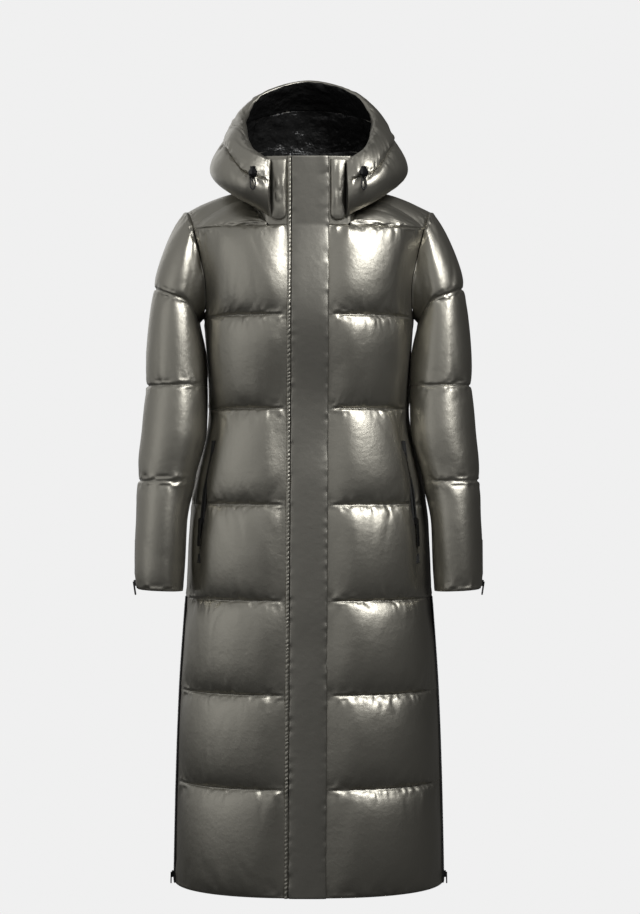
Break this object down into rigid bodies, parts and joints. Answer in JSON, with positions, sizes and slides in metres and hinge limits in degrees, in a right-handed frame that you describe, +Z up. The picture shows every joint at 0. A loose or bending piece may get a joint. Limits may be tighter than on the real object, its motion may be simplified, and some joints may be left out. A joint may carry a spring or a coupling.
{
  "type": "long puffer coat",
  "caption": "Long hooded quilted puffer coat in its worn shape, open and hollow, with a smooth front placket, set-in sleeves, zip pockets and a cord-locked hood.",
  "frame": {"origin": "between the shoulders, where the wearer holds the coat up", "axes": "+Z up, -Y to the front, +X to the wearer's left"},
  "size_m": [0.6254, 0.3508, 1.4599],
  "materials": {
    "shell": "satin metallic-coated nylon",
    "placket": "smooth satin",
    "trim": "gathered satin",
    "zip_tape": "woven tape",
    "slider": "black gloss",
    "pull": "soft black",
    "lock": "black gloss",
    "cord": "braided cord"
  },
  "bodies": {
    "coat": {"front_right": "shell", "front_left": "shell", "back": "shell", "yoke_front_right": "shell", "yoke_front_left": "shell", "yoke_back": "shell", "sleeve_right": "shell", "sleeve_left": "shell", "collar": "shell", "hood_side_right": "shell", "hood_side_left": "shell", "hood_centre": "shell", "hood_brim": "shell", "collar_tab_right": "shell", "collar_tab_left": "shell", "placket": "placket", "placket_piping": "trim", "front_zip": "zip_tape", "sleeve_patch": "zip_tape", "pocket_zip_right": "zip_tape", "vent_zip_right": "zip_tape", "cuff_zip_right": "zip_tape", "pocket_slider_right": "slider", "vent_slider_right": "slider", "cuff_slider_right": "slider", "cord_lock_right": "lock", "drawcord_right": "cord", "pocket_zip_left": "zip_tape", "vent_zip_left": "zip_tape", "cuff_zip_left": "zip_tape", "pocket_slider_left": "slider", "vent_slider_left": "slider", "cuff_slider_left": "slider", "cord_lock_left": "lock", "drawcord_left": "cord"},
    "pocket_pull_right": {"pocket_pull_right": "pull"},
    "vent_pull_right": {"vent_pull_right": "pull"},
    "cuff_pull_right": {"cuff_pull_right": "pull"},
    "cord_button_right": {"cord_button_right": "lock"},
    "pocket_pull_left": {"pocket_pull_left": "pull"},
    "vent_pull_left": {"vent_pull_left": "pull"},
    "cuff_pull_left": {"cuff_pull_left": "pull"},
    "cord_button_left": {"cord_button_left": "lock"}
  },
  "joints": [
    {"name": "pocket_pull_swing_right", "type": "hinge", "parent": "coat", "child": "pocket_pull_right", "pos_m": [-0.19237, -0.08146, -0.56259], "axis": [-0.6026, 0.798, 0], "range_deg": [0, 50]},
    {"name": "vent_pull_swing_right", "type": "hinge", "parent": "coat", "child": "vent_pull_right", "pos_m": [-0.2467, -0.02228, -1.19685], "axis": [-0.1545, 0.988, 0], "range_deg": [0, 80]},
    {"name": "cuff_pull_swing_right", "type": "hinge", "parent": "coat", "child": "cuff_pull_right", "pos_m": [-0.31137, -0.05536, -0.67417], "axis": [0.1384, 0.9904, 0], "range_deg": [0, 80]},
    {"name": "cord_button_press_right", "type": "slide", "parent": "coat", "child": "cord_button_right", "axis": [0, 0, -1], "range_m": [0, 0.0025], "stiffness_N_per_m": 400},
    {"name": "pocket_pull_swing_left", "type": "hinge", "parent": "coat", "child": "pocket_pull_left", "pos_m": [0.19173, -0.0823, -0.56259], "axis": [-0.6086, -0.7935, 0], "range_deg": [0, 50]},
    {"name": "vent_pull_swing_left", "type": "hinge", "parent": "coat", "child": "vent_pull_left", "pos_m": [0.2467, -0.02228, -1.19685], "axis": [-0.1557, -0.9878, 0], "range_deg": [0, 80]},
    {"name": "cuff_pull_swing_left", "type": "hinge", "parent": "coat", "child": "cuff_pull_left", "pos_m": [0.31137, -0.05536, -0.67417], "axis": [0.1384, -0.9904, 0], "range_deg": [0, 80]},
    {"name": "cord_button_press_left", "type": "slide", "parent": "coat", "child": "cord_button_left", "axis": [0, 0, -1], "range_m": [0, 0.0025], "stiffness_N_per_m": 400}
  ]
}
